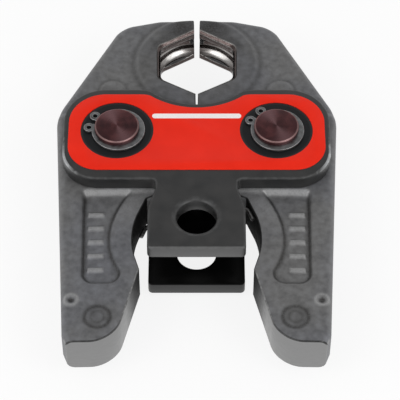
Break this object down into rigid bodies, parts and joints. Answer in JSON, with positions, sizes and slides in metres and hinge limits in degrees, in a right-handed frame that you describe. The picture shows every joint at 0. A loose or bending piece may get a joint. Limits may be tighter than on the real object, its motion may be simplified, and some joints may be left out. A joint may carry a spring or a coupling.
{
  "type": "press fitting tool jaw",
  "caption": "Hinged pressing jaw: mirrored forged arms on pins between T-shaped side plates, closing a six-sided mouth around a pipe press fitting.",
  "frame": {"origin": "centre of the locking pin bore, halfway between the two side plates", "axes": "+Z out of the front side plate, +Y towards the mouth, +X to the right seen from the front"},
  "size_m": [0.102, 0.1485, 0.0334],
  "materials": {
    "forged_steel": "blasted and nickel plated, satin",
    "black_plate": "dark phosphate",
    "pin_steel": "hardened, turned end faces",
    "ring_steel": "phosphated spring steel",
    "red_label": "printed foil",
    "spring_wire": "oiled wire"
  },
  "bodies": {
    "side_plates": {"front_side_plate": "black_plate", "rear_side_plate": "black_plate", "left_pivot_pin": "pin_steel", "right_pivot_pin": "pin_steel", "front_left_circlip": "ring_steel", "front_right_circlip": "ring_steel", "rear_left_circlip": "ring_steel", "rear_right_circlip": "ring_steel", "front_label": "red_label", "spring_post": "pin_steel", "closing_spring": "spring_wire"},
    "left_arm": {"left_jaw_arm": "forged_steel"},
    "right_arm": {"right_jaw_arm": "forged_steel"}
  },
  "joints": [
    {"name": "left_arm_pivot", "type": "hinge", "parent": "side_plates", "child": "left_arm", "pos_m": [-0.02865, 0.0388, 0], "axis": [0, 0, 1], "range_deg": [-1, 18], "stiffness_Nm_per_rad": 2, "deforming": ["closing_spring"]},
    {"name": "right_arm_pivot", "type": "hinge", "parent": "side_plates", "child": "right_arm", "pos_m": [0.02865, 0.0388, 0], "axis": [0, 0, -1], "range_deg": [-1, 18], "stiffness_Nm_per_rad": 2, "deforming": ["closing_spring"]}
  ]
}
